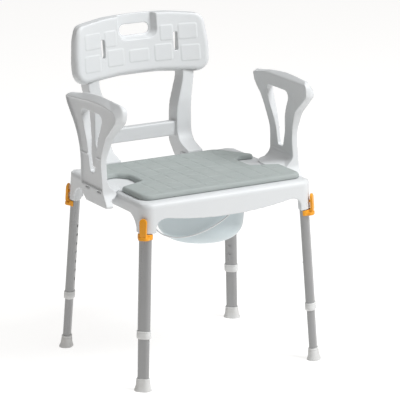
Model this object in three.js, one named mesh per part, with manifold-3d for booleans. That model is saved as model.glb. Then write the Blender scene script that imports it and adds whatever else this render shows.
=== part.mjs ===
// A shower and commode chair: moulded seat on four telescoping oval legs, plug-in backrest,
// plug-in armrests, foam pad and a commode pan on rails. Millimetres, +Z up, the sitter faces -Y.
import * as THREE from 'three';
import { mergeVertices } from 'three/addons/utils/BufferGeometryUtils.js';
import { TessellateModifier } from 'three/addons/modifiers/TessellateModifier.js';
import Module from 'manifold-3d';

const wasm = await Module();
wasm.setup();

// ---------------------------------------------------------------- driving dimensions
const GAP = 0.35; // air between two pieces that touch
const ARC_STEPS = 3; // half the number of flats on one arc

// legs
const LEG_X = 263.5; // foot centre on the floor
const LEG_Y = 217;
const LEG_LEAN = Math.tan(THREE.MathUtils.degToRad(3)); // lean towards the middle, both ways
const TUBE = { wide: 34, deep: 22.5, wall: 1.2 }; // oval upper tube, wide face on the corner diagonal
const LOWER = { wide: 31, deep: 19.5, wall: 1.2 };
const TUBE_BOTTOM = 150;
const TUBE_TOP = 487;
const LOWER_BOTTOM = 7;
const LOWER_TOP = 300;
const HOLE_PITCH = 25; // height steps
const HOLE_STEPS = 3; // steps up and down from the middle setting
const BUTTON_Z = 270;
const BUTTON_R = 3.9;
const COLLAR_Z = [139, 160];
const FOOT_HEIGHT = 33;
const CLIP_Z = [403, 419]; // ring of the leg clip
const TAB_TOP = 461;
const PEG_Z = 440;
const PEG_R = 4;

// seat
const DECK_TOP = 500;
const SEAT_X = 258; // half width of the moulding
const SEAT_FRONT = -216;
const SEAT_REAR = 207;
const SEAT_CORNER = 32;
const WALL = 5;
const EDGE_ROUND = 14; // rounding of the top edge
const RAIL_BOTTOM = 464; // lower edge of the side rails
const REAR_BOTTOM = 478; // lower edge of the rear rail, the pan slides out under it
const APRON_BOTTOM = 438.5; // lowest point of the front apron
const APRON_RISE = 0.00048; // the apron's lower edge rises by this times x squared
const DECK_UNDER = DECK_TOP - WALL;
const SOCKET = { wide: 40.5, deep: 29, bottom: 419.5 };
const TOILET = { rx: 98, ry: 116, y: -52, lip: 4, bottom: 480 };

// pad
const PAD_THICK = 14;

// pan
const PAN = { y: -58, turn: THREE.MathUtils.degToRad(-76), rim: 137, mouth: 122, wall: 2.5, base: 342, rimZ: 455 };
const BAIL = { reach: { across: 137, down: 146 }, wire: 1.8, swing: THREE.MathUtils.degToRad(55), pivotZ: 449 };

// pan rails
const RAIL = { x: 140, ledge: 12, ledgeZ: [450.5, 454.6], wall: 3.5, y: [-190, 184], flange: 18 };
const RAIL_SCREW = { shank: 1.7, head: 3.6, headHeight: 2.4, length: 7.2, x: 150.5, y: [-120, 120] };

// armrests
const ARM_OUT = 301;
const TONGUE = { x: [239, 249], y: [-40, 30], bottom: 468 };

// backrest
const BACK_LEAN = THREE.MathUtils.degToRad(8);
const PANEL = { y: 277, z: 800, bow: 0.00072, depth: 30, skin: 4.5, side: 14 };
const UPRIGHT = { x: 128, half: 23.5, topX: 147, topHalf: 17.5 };
const BACK_SOCKET = { x: [106, 153], y: [186, 228.5], bottom: 471 };
const BACK_TONGUE = { x: [114, 145], y: [194, 216], bottom: 476 };
const BACK_SCREW = { shank: 1.8, head: 4, headHeight: 2.6, length: 12, seat: -27 };

// ---------------------------------------------------------------- materials
const finish = (color, roughness, metalness = 0) => new THREE.MeshStandardMaterial({ color, roughness, metalness });
const white = () => finish(0xe9ecec, 0.45);
const collarWhite = () => finish(0xd9d8d4, 0.5);
const padGrey = () => finish(0xaeb4b2, 0.8);
const orange = () => finish(0xf7a11e, 0.4);
const tubeMetal = () => finish(0x9a9b9d, 0.35, 0.9);
const steel = () => finish(0xb5b8ba, 0.3, 1);
const panBlue = () => finish(0xb4c7cc, 0.25);
const rubber = () => finish(0xc9c7c2, 0.75);

// ---------------------------------------------------------------- solids
// A closed geometry as a manifold solid.
function solid(geometry) {
  const plain = geometry.index ? geometry.toNonIndexed() : geometry.clone();
  plain.deleteAttribute('normal');
  plain.deleteAttribute('uv');
  const merged = mergeVertices(plain, 1e-3);
  const mesh = new wasm.Mesh({
    numProp: 3,
    vertProperties: new Float32Array(merged.attributes.position.array),
    triVerts: new Uint32Array(merged.index.array),
  });
  return new wasm.Manifold(mesh);
}

// A manifold solid as a geometry.
function surface(body) {
  const { vertProperties, triVerts } = body.getMesh();
  const geometry = new THREE.BufferGeometry();
  geometry.setAttribute('position', new THREE.BufferAttribute(vertProperties, 3));
  geometry.setIndex(new THREE.BufferAttribute(triVerts, 1));
  geometry.computeVertexNormals();
  return geometry;
}

const join = (...bodies) => bodies.reduce((whole, body) => whole.add(body));
const cut = (whole, ...tools) => tools.reduce((rest, tool) => rest.subtract(tool), whole);

// Turns a z-extrusion into one along X (shape = y,z) or along Y (shape = x,z).
const SIDE = new THREE.Matrix4().makeBasis(
  new THREE.Vector3(0, 1, 0), new THREE.Vector3(0, 0, 1), new THREE.Vector3(1, 0, 0));
const FRONT = new THREE.Matrix4().makeBasis(
  new THREE.Vector3(1, 0, 0), new THREE.Vector3(0, 0, 1), new THREE.Vector3(0, -1, 0));

function extrude(shape, depth, bevel = 0, segments = 2) {
  return new THREE.ExtrudeGeometry(shape, {
    depth: depth - 2 * bevel,
    curveSegments: ARC_STEPS,
    bevelEnabled: bevel > 0,
    bevelThickness: bevel,
    bevelSize: bevel,
    bevelOffset: -bevel,
    bevelSegments: segments,
  }).translate(0, 0, bevel);
}

// Prisms between two planes, named after the direction they run in.
const prismZ = (shape, z0, z1, bevel) => solid(extrude(shape, z1 - z0, bevel).translate(0, 0, z0));
const prismX = (shape, x0, x1, bevel) => solid(extrude(shape, x1 - x0, bevel).applyMatrix4(SIDE).translate(x0, 0, 0));
const prismY = (shape, y0, y1, bevel) => solid(extrude(shape, y1 - y0, bevel).applyMatrix4(FRONT).translate(0, y1, 0));

const box = (x, y, z) => solid(new THREE.BoxGeometry(x[1] - x[0], y[1] - y[0], z[1] - z[0])
  .translate((x[0] + x[1]) / 2, (y[0] + y[1]) / 2, (z[0] + z[1]) / 2));

const mirrorPair = (x, side) => (side > 0 ? x : [-x[1], -x[0]]);

// A polygon whose corners [x, y, radius] are rounded by arcs.
function roundedShape(corners, kind = THREE.Shape) {
  const shape = new kind();
  const count = corners.length;
  corners.forEach(([x, y, radius = 0], i) => {
    const here = new THREE.Vector2(x, y);
    const [px, py] = corners[(i + count - 1) % count];
    const [nx, ny] = corners[(i + 1) % count];
    const back = new THREE.Vector2(px, py).sub(here).normalize();
    const ahead = new THREE.Vector2(nx, ny).sub(here).normalize();
    const half = Math.acos(THREE.MathUtils.clamp(back.dot(ahead), -1, 1)) / 2;
    const run = radius / Math.tan(half);
    const start = here.clone().addScaledVector(back, run);
    if (i === 0) shape.moveTo(start.x, start.y);
    else shape.lineTo(start.x, start.y);
    if (radius > 0) {
      const centre = here.clone().addScaledVector(back.clone().add(ahead).normalize(), radius / Math.sin(half));
      const end = here.clone().addScaledVector(ahead, run);
      const turn = back.x * ahead.y - back.y * ahead.x;
      const angle = (p) => Math.atan2(p.y - centre.y, p.x - centre.x);
      shape.absarc(centre.x, centre.y, radius, angle(start), angle(end), turn > 0);
    }
  });
  shape.closePath();
  return shape;
}

// The same corners moved inwards (counter-clockwise outline) by a distance.
function inset(corners, distance) {
  const count = corners.length;
  return corners.map(([x, y, radius = 0], i) => {
    const [px, py] = corners[(i + count - 1) % count];
    const [nx, ny] = corners[(i + 1) % count];
    const into = new THREE.Vector2(x - px, y - py).normalize();
    const out = new THREE.Vector2(nx - x, ny - y).normalize();
    const turn = into.x * out.y - into.y * out.x;
    const bisector = new THREE.Vector2(-into.y - out.y, into.x + out.x).normalize();
    const reach = distance / Math.max(0.3, bisector.dot(new THREE.Vector2(-into.y, into.x)));
    const rest = turn > 0 ? Math.max(0.5, radius - distance) : radius + distance;
    return [x + bisector.x * reach, y + bisector.y * reach, rest];
  });
}

const mirrorX = (corners) => [...corners, ...corners.map(([x, y, r]) => [-x, y, r]).reverse()];

// An oval with two flat sides, the section of the legs.
function oval(wide, deep) {
  const r = deep / 2;
  const flat = wide / 2 - r;
  const shape = new THREE.Shape();
  shape.moveTo(-flat, -r);
  for (let quarter = 0; quarter < 4; quarter += 1) {
    const start = (quarter - 1) * (Math.PI / 2);
    shape.absarc(quarter < 2 ? flat : -flat, 0, r, start, start + Math.PI / 2, false);
  }
  return new THREE.Shape(shape.getPoints(2).slice(0, -1));
}

function ellipse(x, y, rx, ry, arcs = 4) {
  const shape = new THREE.Shape();
  for (let arc = 0; arc < arcs; arc += 1) {
    const start = (2 * Math.PI * arc) / arcs;
    shape.absellipse(x, y, rx, ry, start, start + (2 * Math.PI) / arcs);
  }
  return shape;
}

const circle = (x, y, radius) => ellipse(x, y, radius, radius, 2);

const ovalTube = (section, z0, z1) => cut(
  prismZ(oval(section.wide, section.deep), z0, z1),
  prismZ(oval(section.wide - 2 * section.wall, section.deep - 2 * section.wall), z0 - 1, z1 + 1));

// A closed skin through oval sections [height, wide, deep], all with the same number of points.
function ovalLoft(sections) {
  const rings = sections.map(([z, wide, deep]) => {
    const points = oval(wide, deep).getPoints();
    return points.map((p) => new THREE.Vector3(p.x, p.y, z));
  });
  const count = rings[0].length;
  const points = rings.flat();
  const faces = [];
  for (let ring = 0; ring < rings.length - 1; ring += 1) {
    for (let i = 0; i < count; i += 1) {
      const a = ring * count + i;
      const b = ring * count + ((i + 1) % count);
      faces.push([a, b, b + count], [a, b + count, a + count]);
    }
  }
  const last = (rings.length - 1) * count;
  for (let i = 1; i < count - 1; i += 1) {
    faces.push([0, i + 1, i], [last, last + i, last + i + 1]);
  }
  const geometry = new THREE.BufferGeometry().setFromPoints(points);
  geometry.setIndex(faces.flat());
  return solid(geometry);
}

// A solid cut into short edges and then bent by moving its points.
function bend(body, longestEdge, move) {
  const geometry = new TessellateModifier(longestEdge, 8).modify(surface(body).toNonIndexed());
  const position = geometry.attributes.position;
  const point = new THREE.Vector3();
  for (let i = 0; i < position.count; i += 1) {
    point.fromBufferAttribute(position, i);
    move(point);
    position.setXYZ(i, point.x, point.y, point.z);
  }
  return solid(geometry);
}

const group = new THREE.Group();

function place(name, body, material, parent = group) {
  const mesh = new THREE.Mesh(surface(body), material);
  mesh.name = name;
  parent.add(mesh);
  return mesh;
}

// ---------------------------------------------------------------- where the legs stand
const CORNERS = [
  ['front_left', -1, -1],
  ['front_right', 1, -1],
  ['rear_left', -1, 1],
  ['rear_right', 1, 1],
];

// Leg frame: Z up the tube, Y towards the outside of the corner, origin on the floor.
function legMatrix(sx, sy) {
  const up = new THREE.Vector3(-sx * LEG_LEAN, -sy * LEG_LEAN, 1).normalize();
  const spin = new THREE.Quaternion().setFromAxisAngle(
    new THREE.Vector3(0, 0, 1), Math.atan2(sy, sx) - Math.PI / 2);
  const tilt = new THREE.Quaternion().setFromUnitVectors(new THREE.Vector3(0, 0, 1), up);
  return new THREE.Matrix4().compose(
    new THREE.Vector3(sx * LEG_X, sy * LEG_Y, 0), tilt.multiply(spin), new THREE.Vector3(1, 1, 1));
}

const moved = (body, matrix) => body.transform(matrix.elements);

// ---------------------------------------------------------------- seat frame
const seatCorners = (offset) => inset([
  [-SEAT_X, SEAT_FRONT, SEAT_CORNER],
  [SEAT_X, SEAT_FRONT, SEAT_CORNER],
  [SEAT_X, SEAT_REAR, SEAT_CORNER],
  [-SEAT_X, SEAT_REAR, SEAT_CORNER],
], offset);

// Space between the legs under a rail: straight sides, rounded top corners.
const archShape = (half, bottom, top, radius) => roundedShape([
  [-half, bottom, 0], [half, bottom, 0], [half, top, radius], [-half, top, radius],
]);

function apronArch() {
  const low = 380;
  const side = 219;
  const end = 188; // where the long curve of the apron meets the arch beside the leg
  const endZ = APRON_BOTTOM + APRON_RISE * end * end;
  const shape = new THREE.Shape();
  shape.moveTo(-side, low);
  shape.lineTo(side, low);
  shape.lineTo(side, endZ - 26);
  shape.quadraticCurveTo(side, endZ, end, endZ);
  shape.quadraticCurveTo(0, 2 * APRON_BOTTOM - endZ, -end, endZ);
  shape.quadraticCurveTo(-side, endZ, -side, endZ - 26);
  return shape;
}

function buildSeatFrame() {
  const below = 380;
  const shell = cut(
    prismZ(roundedShape(seatCorners(0)), below, DECK_TOP, EDGE_ROUND),
    prismZ(roundedShape(seatCorners(WALL)), below - 20, DECK_TOP - WALL, EDGE_ROUND - WALL));
  const arches = [
    prismX(archShape(176, below - 20, RAIL_BOTTOM, 45), -300, 300),
    prismY(apronArch(), SEAT_FRONT - 10, SEAT_FRONT + 40),
    prismY(archShape(214, below - 20, REAR_BOTTOM, 34), SEAT_REAR - 40, SEAT_REAR + 10),
    box([-300, 300], [-300, 300], [below - 20, SOCKET.bottom]),
  ];
  let frame = cut(shell, ...arches);
  const lip = cut(
    prismZ(ellipse(0, TOILET.y, TOILET.rx + TOILET.lip, TOILET.ry + TOILET.lip), TOILET.bottom, DECK_TOP - 1),
    prismZ(ellipse(0, TOILET.y, TOILET.rx, TOILET.ry), TOILET.bottom - 1, DECK_TOP + 1));
  frame = join(cut(frame, prismZ(ellipse(0, TOILET.y, TOILET.rx, TOILET.ry), 470, DECK_TOP + 1)), lip);
  for (const side of [-1, 1]) {
    frame = join(frame, box(mirrorPair(BACK_SOCKET.x, side), BACK_SOCKET.y, [BACK_SOCKET.bottom, DECK_TOP - 0.2]));
    frame = cut(frame,
      box(mirrorPair(grown(BACK_TONGUE.x), side), grown(BACK_TONGUE.y), [BACK_SOCKET.bottom - 1, DECK_TOP + 1]),
      box(mirrorPair(grown(TONGUE.x), side), grown(TONGUE.y), [RAIL_BOTTOM, DECK_TOP + 1]));
  }
  for (const [x, y] of railScrewSpots()) {
    frame = cut(frame, prismZ(circle(x, y, RAIL_SCREW.shank + GAP), 480, DECK_TOP - 1));
  }
  for (const [, sx, sy] of CORNERS) {
    const matrix = legMatrix(sx, sy);
    const post = prismZ(oval(SOCKET.wide, SOCKET.deep), SOCKET.bottom, DECK_TOP - 2);
    const bore = prismZ(oval(TUBE.wide + 2 * GAP, TUBE.deep + 2 * GAP), SOCKET.bottom - 30, TUBE_TOP + GAP);
    const pegHole = prismY(circle(0, PEG_Z, PEG_R + GAP), 0, 40);
    frame = cut(join(frame, moved(post, matrix)), moved(bore, matrix), moved(pegHole, matrix));
  }
  return frame;
}

const grown = ([from, to], by = GAP) => [from - by, to + by];

const railScrewSpots = () => [-1, 1].flatMap((side) => RAIL_SCREW.y.map((y) => [side * RAIL_SCREW.x, y]));

// ---------------------------------------------------------------- seat pad
const PAD_HALF = [
  [242, -187, 28],
  [242, -66, 10],
  [168, -38, 8],
  [166, 34, 26],
  [194, 66, 20],
  [245, 64, 8],
  [172, 160, 34],
];

const buildPad = () => prismZ(roundedShape(mirrorX(PAD_HALF)), DECK_TOP + GAP, DECK_TOP + GAP + PAD_THICK, 3.5);

// ---------------------------------------------------------------- legs
function buildUpperTube() {
  const holes = [];
  for (let step = -HOLE_STEPS; step <= HOLE_STEPS; step += 1) {
    holes.push(prismY(circle(0, BUTTON_Z + step * HOLE_PITCH, BUTTON_R + GAP), -30, 0));
  }
  holes.push(prismY(circle(0, PEG_Z, PEG_R + GAP), 0, 30));
  return cut(ovalTube(TUBE, TUBE_BOTTOM, TUBE_TOP), ...holes);
}

const buildLowerTube = () => cut(ovalTube(LOWER, LOWER_BOTTOM, LOWER_TOP),
  prismY(circle(0, BUTTON_Z, BUTTON_R + GAP), -30, 0));

function buildCollar() {
  const [low, high] = COLLAR_Z;
  const wide = TUBE.wide + 4.6;
  const deep = TUBE.deep + 4.6;
  return cut(
    ovalLoft([[low, wide - 3, deep - 3], [low + 2, wide, deep], [high - 2, wide, deep], [high, wide - 2, deep - 2]]),
    prismZ(oval(LOWER.wide + 2 * GAP, LOWER.deep + 2 * GAP), low - 1, TUBE_BOTTOM - GAP),
    prismZ(oval(TUBE.wide + 2 * GAP, TUBE.deep + 2 * GAP), TUBE_BOTTOM - GAP, high + 1));
}

function buildClip() {
  const [low, high] = CLIP_Z;
  const ring = cut(
    ovalLoft([[low, 38.5, 27], [low + 2, 41.5, 30], [high - 2, 41.5, 30], [high, 40, 28.5]]),
    prismZ(oval(TUBE.wide + 2 * GAP, TUBE.deep + 2 * GAP), low - 1, high + 1),
    box([-30, 30], [-30, 0], [low - 1, high + 1]));
  const tabShape = roundedShape([[-10, low, 3], [10, low, 3], [10, TAB_TOP, 9.5], [-10, TAB_TOP, 9.5]]);
  const tab = prismY(tabShape, 18.5, 27, 2.5);
  const bridge = prismY(roundedShape([[-8, low + 1, 2], [8, low + 1, 2], [8, high - 0.5, 2], [-8, high - 0.5, 2]]), 13, 21);
  const peg = solid(new THREE.CylinderGeometry(PEG_R, PEG_R - 0.8, 13, 16).translate(0, 14, PEG_Z));
  return join(ring, tab, bridge, peg);
}

function buildButton() {
  const tip = LOWER.deep / 2 + 3.7;
  const profile = new THREE.Path();
  profile.moveTo(0, 6.2);
  profile.lineTo(5.6, 6.2);
  profile.lineTo(5.6, 7.6);
  profile.lineTo(BUTTON_R, 7.6);
  profile.lineTo(BUTTON_R, tip - 1.5);
  profile.quadraticCurveTo(BUTTON_R, tip, BUTTON_R - 2, tip);
  profile.lineTo(0, tip);
  const turned = new THREE.LatheGeometry(profile.getPoints(3), 12).rotateX(Math.PI).translate(0, 0, BUTTON_Z);
  return solid(turned);
}

// A leaf bent to a U. Its far arm stays off the tube wall by the button's travel.
function buildSpring() {
  const arms = [-5.9, 4.9];
  const strip = 0.7;
  const top = BUTTON_Z + 7;
  const bottom = BUTTON_Z - 34;
  const leaf = (grow, radius) => prismX(roundedShape([
    [arms[0] + grow, bottom + grow, radius], [arms[1] - grow, bottom + grow, radius],
    [arms[1] - grow, top + grow, 0], [arms[0] + grow, top + grow, 0],
  ]), -5 - grow, 5 + grow);
  return cut(leaf(0, 3), leaf(strip, 2.3));
}

function buildFoot(matrix) {
  const outer = ovalLoft([
    [-8, 47, 36], [2.5, 46, 35], [8, 42, 31], [20, 37.5, 26], [FOOT_HEIGHT - 2, 36.5, 25], [FOOT_HEIGHT, 35, 23.5],
  ]);
  const bore = prismZ(oval(LOWER.wide + 2 * GAP, LOWER.deep + 2 * GAP), LOWER_BOTTOM - GAP, FOOT_HEIGHT + 1);
  const floor = moved(box([-500, 500], [-500, 500], [-60, 0]), matrix.clone().invert());
  return cut(outer, bore, floor);
}

const upperTube = buildUpperTube();
const lowerTube = buildLowerTube();
const collar = buildCollar();
const clip = buildClip();
const button = buildButton();
const spring = buildSpring();

for (const [corner, sx, sy] of CORNERS) {
  const matrix = legMatrix(sx, sy);
  const leg = new THREE.Group();
  matrix.decompose(leg.position, leg.quaternion, leg.scale);
  place(`leg_tube_upper_${corner}`, upperTube, tubeMetal(), leg);
  place(`leg_clip_${corner}`, clip, orange(), leg);
  place(`leg_collar_${corner}`, collar, collarWhite(), leg);
  place(`leg_tube_lower_${corner}`, lowerTube, tubeMetal(), leg);
  place(`height_button_${corner}`, button, steel(), leg);
  place(`button_spring_${corner}`, spring, steel(), leg);
  place(`leg_foot_${corner}`, buildFoot(matrix), rubber(), leg);
  group.add(leg);
}

place('seat_frame', buildSeatFrame(), white());
place('seat_pad', buildPad(), padGrey());

// ---------------------------------------------------------------- pan and its handle
const revolve = (profile, segments) => solid(
  new THREE.LatheGeometry(profile.getPoints(3), segments).rotateX(Math.PI / 2));

function buildPan() {
  const { mouth, wall, base, rim, rimZ } = PAN;
  const shoulder = base + 50;
  const waist = 116.5;
  const profile = new THREE.Path();
  profile.moveTo(0, base);
  profile.lineTo(64, base);
  profile.quadraticCurveTo(92, base, 108, base + 22);
  profile.quadraticCurveTo(115, base + 31, waist, shoulder);
  profile.lineTo(mouth, rimZ);
  profile.lineTo(rim, rimZ);
  profile.lineTo(rim, rimZ + 3);
  profile.lineTo(mouth - wall, rimZ + 3);
  profile.lineTo(waist - wall, shoulder);
  profile.quadraticCurveTo(115 - wall, base + 32, 108 - wall, base + 24);
  profile.quadraticCurveTo(91, base + wall, 64, base + wall);
  profile.lineTo(0, base + wall);
  let pan = revolve(profile, 40);
  for (const side of [-1, 1]) {
    const ear = box(mirrorPair([mouth - 2, BAIL.reach.across - 6.5], side), [-6, 6], [BAIL.pivotZ - 6, rimZ + 1]);
    const reach = [mouth + 1.5, BAIL.reach.across + 3];
    const hole = prismX(circle(0, BAIL.pivotZ, BAIL.wire + GAP), ...mirrorPair(reach, side));
    pan = cut(join(pan, ear), hole);
  }
  return pan;
}

// The wire runs in the XZ plane, pivots on X, hanging down.
function buildBail() {
  const { across, down } = BAIL.reach;
  const pin = [12, 4]; // the wire's ends turn in towards the ears
  const points = pin.map((short) => new THREE.Vector3(across - short, 0, 0));
  const steps = 18;
  for (let i = 0.5; i < steps; i += 1) {
    const t = (Math.PI * i) / steps;
    points.push(new THREE.Vector3(across * Math.cos(t), 0, -down * Math.sin(t)));
  }
  points.push(...pin.reverse().map((short) => new THREE.Vector3(short - across, 0, 0)));
  const path = new THREE.CatmullRomCurve3(points, false, 'centripetal');
  return solid(new THREE.ExtrudeGeometry(circle(0, 0, BAIL.wire), { steps: 48, curveSegments: 2, extrudePath: path }));
}

const panPlace = new THREE.Group();
panPlace.position.set(0, PAN.y, 0);
panPlace.rotation.z = PAN.turn;
place('commode_pan', buildPan(), panBlue(), panPlace);
const bail = place('pan_handle', buildBail(), steel(), panPlace);
bail.position.z = BAIL.pivotZ;
bail.rotation.x = -BAIL.swing;
group.add(panPlace);

// ---------------------------------------------------------------- rails under the deck

// A pan-head screw standing head down at the origin: head, shank, tip.
function buildScrew(shankR, headR, headHeight, length) {
  const profile = new THREE.Path();
  profile.moveTo(0, 0);
  profile.lineTo(headR - 1, 0);
  profile.quadraticCurveTo(headR, 0, headR, headHeight);
  profile.lineTo(shankR, headHeight);
  profile.lineTo(shankR, headHeight + length - 1);
  profile.lineTo(shankR - 0.8, headHeight + length);
  profile.lineTo(0, headHeight + length);
  return revolve(profile, 12);
}

function buildRail(side) {
  const { x, ledge, ledgeZ, wall, y, flange } = RAIL;
  const top = DECK_UNDER - GAP;
  const rail = join(
    box(mirrorPair([x, x + wall], side), y, [ledgeZ[0], top]),
    box(mirrorPair([x - ledge, x + 1], side), y, ledgeZ),
    box(mirrorPair([x, x + flange], side), y, [top - wall, top]));
  const holes = railScrewSpots().map(([sx, sy]) => prismZ(
    circle(sx, sy, RAIL_SCREW.shank + GAP), top - 10, top + 1));
  return cut(rail, ...holes);
}

const railScrew = buildScrew(RAIL_SCREW.shank, RAIL_SCREW.head, RAIL_SCREW.headHeight, RAIL_SCREW.length);
const SIDES = [['left', -1], ['right', 1]];
for (const [name, side] of SIDES) {
  place(`pan_rail_${name}`, buildRail(side), white());
  RAIL_SCREW.y.forEach((y, i) => {
    const screw = place(`rail_screw_${name}_${['front', 'rear'][i]}`, railScrew, steel());
    screw.position.set(side * RAIL_SCREW.x, y, DECK_UNDER - 2 * GAP - RAIL.wall - RAIL_SCREW.headHeight);
  });
}

// ---------------------------------------------------------------- armrests
// Corners in the side view [y, z, radius].
const ARM_OUTLINE = [
  [-98, 465, 4],
  [20, 465, 4],
  [38, 478, 8],
  [50, 506, 20],
  [50, 616, 170],
  [126, 712, 5],
  [135, 738, 6],
  [-35, 757, 500],
  [-147, 750, 14],
  [-147, 706, 22],
  [-96, 664, 60],
  [-60, 590, 110],
  [-74, 500, 30],
];
const ARM_OPENING = [
  [-17, 545, 9],
  [8, 545, 9],
  [27, 625, 60],
  [60, 707, 14],
  [-68, 707, 16],
  [-34, 634, 60],
];
// Corners in the front view [x, z, radius] of the right armrest.
const ARM_SECTION = [
  [280, 460, 0],
  [ARM_OUT, 460, 0],
  [ARM_OUT, 734, 3],
  [290, 757, 12],
  [271, 740, 5],
  [273, 660, 60],
  [283, 590, 60],
  [283, 522, 26],
  [259, 500.5, 0],
  [264, 492, 12],
  [280, 484, 0],
];
const ARM_LEDGE = 508;
const ARM_FLANGE = 3.2;

function buildArm() {
  const outline = prismX(roundedShape(ARM_OUTLINE), 250, ARM_OUT + 4);
  const section = prismY(roundedShape(ARM_SECTION), -200, 200);
  const body = outline.intersect(section);
  const pocket = prismX(roundedShape(inset(ARM_OUTLINE, ARM_FLANGE)), 250, ARM_OUT + 4)
    .intersect(prismY(roundedShape(inset(ARM_SECTION, ARM_FLANGE)), -200, 200)
      .add(box([ARM_OUT - 8, ARM_OUT + 4], [-200, 200], [ARM_LEDGE, 729])));
  const keep = [
    prismX(roundedShape(inset(ARM_OPENING, -ARM_FLANGE)), 240, ARM_OUT + 5),
    box([240, ARM_OUT - 1.5], [-120, 120], [440, ARM_LEDGE]),
    box([ARM_OUT - 3.5, ARM_OUT + 5], [-120, 120], [440, ARM_LEDGE]),
    ...[-14, 14].flatMap((offset) => [
      box([240, ARM_OUT - 4], [-90, -10], [592 + offset, 594 + offset]),
      box([240, ARM_OUT - 4], [0, 80], [592 + offset, 594 + offset]),
    ]),
  ];
  const flange = prismZ(ellipse(284, -6, 56, 68), DECK_TOP + GAP, DECK_TOP + 4.5)
    .intersect(box([200, 284], [-100, 100], [DECK_TOP, DECK_TOP + 6]));
  const tongue = cut(
    box(TONGUE.x, TONGUE.y, [TONGUE.bottom, DECK_TOP + 4]),
    box([TONGUE.x[0] + 2.5, TONGUE.x[1] - 2.5], [TONGUE.y[0] + 2.5, TONGUE.y[1] - 2.5], [TONGUE.bottom - 1, DECK_TOP]));
  return join(
    cut(body, cut(pocket, ...keep), prismX(roundedShape(ARM_OPENING), 240, ARM_OUT + 5)),
    flange, tongue);
}

const MIRROR = new THREE.Matrix4().makeScale(-1, 1, 1);
const arm = buildArm();
place('armrest_right', arm, white());
place('armrest_left', moved(arm, MIRROR), white());

// ---------------------------------------------------------------- backrest
// Corners in the side view [y, z, radius] of an upright.
const UPRIGHT_SIDE = [
  [187, DECK_TOP + GAP, 2.5],
  [BACK_SOCKET.y[1] + 0.6, DECK_TOP + GAP, 0],
  [BACK_SOCKET.y[1] + 0.6, 481, 3],
  [264, 481, 8],
  [297, 518, 22],
  [298, 620, 60],
  [307, 720, 50],
  [306, 832, 4],
  [276, 832, 4],
  [250, 640, 60],
  [249, 530, 45],
  [187, 509, 2.5],
];
// Corners in the front view [x, z, radius] of the right upright.
const UPRIGHT_FRONT = [
  [UPRIGHT.x - UPRIGHT.half, 470, 0],
  [UPRIGHT.x + UPRIGHT.half, 470, 0],
  [UPRIGHT.x + UPRIGHT.half, 640, 150],
  [UPRIGHT.topX + UPRIGHT.topHalf, 700, 90],
  [UPRIGHT.topX + UPRIGHT.topHalf, 840, 0],
  [UPRIGHT.topX - UPRIGHT.topHalf, 840, 0],
  [UPRIGHT.topX - UPRIGHT.topHalf, 700, 90],
  [UPRIGHT.x - UPRIGHT.half, 620, 110],
];
const UPRIGHT_WALL = 3.5;
const CROSSBAR = { y: [257, 283], z: [539, 579] };
const PANEL_FRONT = [
  [192, 729, 20],
  [193, 790, 60],
  [183, 873, 22],
  [100, 884, 80],
];
const PANEL_BACK = [
  [212, 709, 20],
  [213, 762, 40],
  [205, 835, 60],
  [191, 877, 22],
  [100, 888, 80],
];
const RECESS = { half: 60, bottom: 810, depth: 20 };
const HAND_HOLE = { half: 45, z: [822, 856] };
const SLOT = { x: 112.5, half: 4.5, z: [778, 827] };
const BACK_SCREW_Z = [745, 800];

function buildBackFrame() {
  const { x, half } = UPRIGHT;
  const upright = cut(
    prismX(roundedShape(UPRIGHT_SIDE), 90, 180).intersect(prismY(roundedShape(UPRIGHT_FRONT), 180, 330)),
    prismX(roundedShape(inset(UPRIGHT_SIDE, UPRIGHT_WALL)), 90, 180)
      .add(box([90, 180], [285, 330], [540, 825]))
      .intersect(prismY(roundedShape(inset(UPRIGHT_FRONT, UPRIGHT_WALL)), 180, 330)));
  const inner = x - half + UPRIGHT_WALL - 0.5;
  const bar = cut(
    box([-inner, inner], CROSSBAR.y, CROSSBAR.z),
    box([-inner + 4, inner - 4], [CROSSBAR.y[0] + UPRIGHT_WALL, CROSSBAR.y[1] + 1],
      [CROSSBAR.z[0] + UPRIGHT_WALL, CROSSBAR.z[1] - UPRIGHT_WALL]));
  let frame = join(bar, upright, moved(upright, MIRROR));
  for (const side of [-1, 1]) {
    const tongue = box(mirrorPair(BACK_TONGUE.x, side), BACK_TONGUE.y, [BACK_TONGUE.bottom, DECK_TOP + 2]);
    frame = join(frame, tongue);
  }
  return cut(frame, ...backScrewSpots().map(([sx, z]) => screwHole(sx, z, 20)));
}

const backScrewSpots = () => [-1, 1].flatMap((side) => BACK_SCREW_Z.map((z) => [side * UPRIGHT.topX, z]));

// Front face of the panel at a place.
const panelY = (x, z) => PANEL.y - PANEL.bow * x * x + Math.tan(BACK_LEAN) * (z - PANEL.z);

// Frame of a back screw: Z points forward along the panel's normal, origin on the panel's front face.
function screwMatrix(x, z) {
  return new THREE.Matrix4().makeRotationX(Math.PI / 2).setPosition(x, panelY(x, z), z);
}

function screwHole(x, z, reach) {
  const hole = prismZ(circle(0, 0, BACK_SCREW.shank + GAP), -reach - 10, -PANEL.skin - 1);
  return moved(hole, screwMatrix(x, z));
}

const tileShape = (x0, x1, z0, z1, r = 5) => roundedShape([[x0, z0, r], [x1, z0, r], [x1, z1, r], [x0, z1, r]]);

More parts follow.
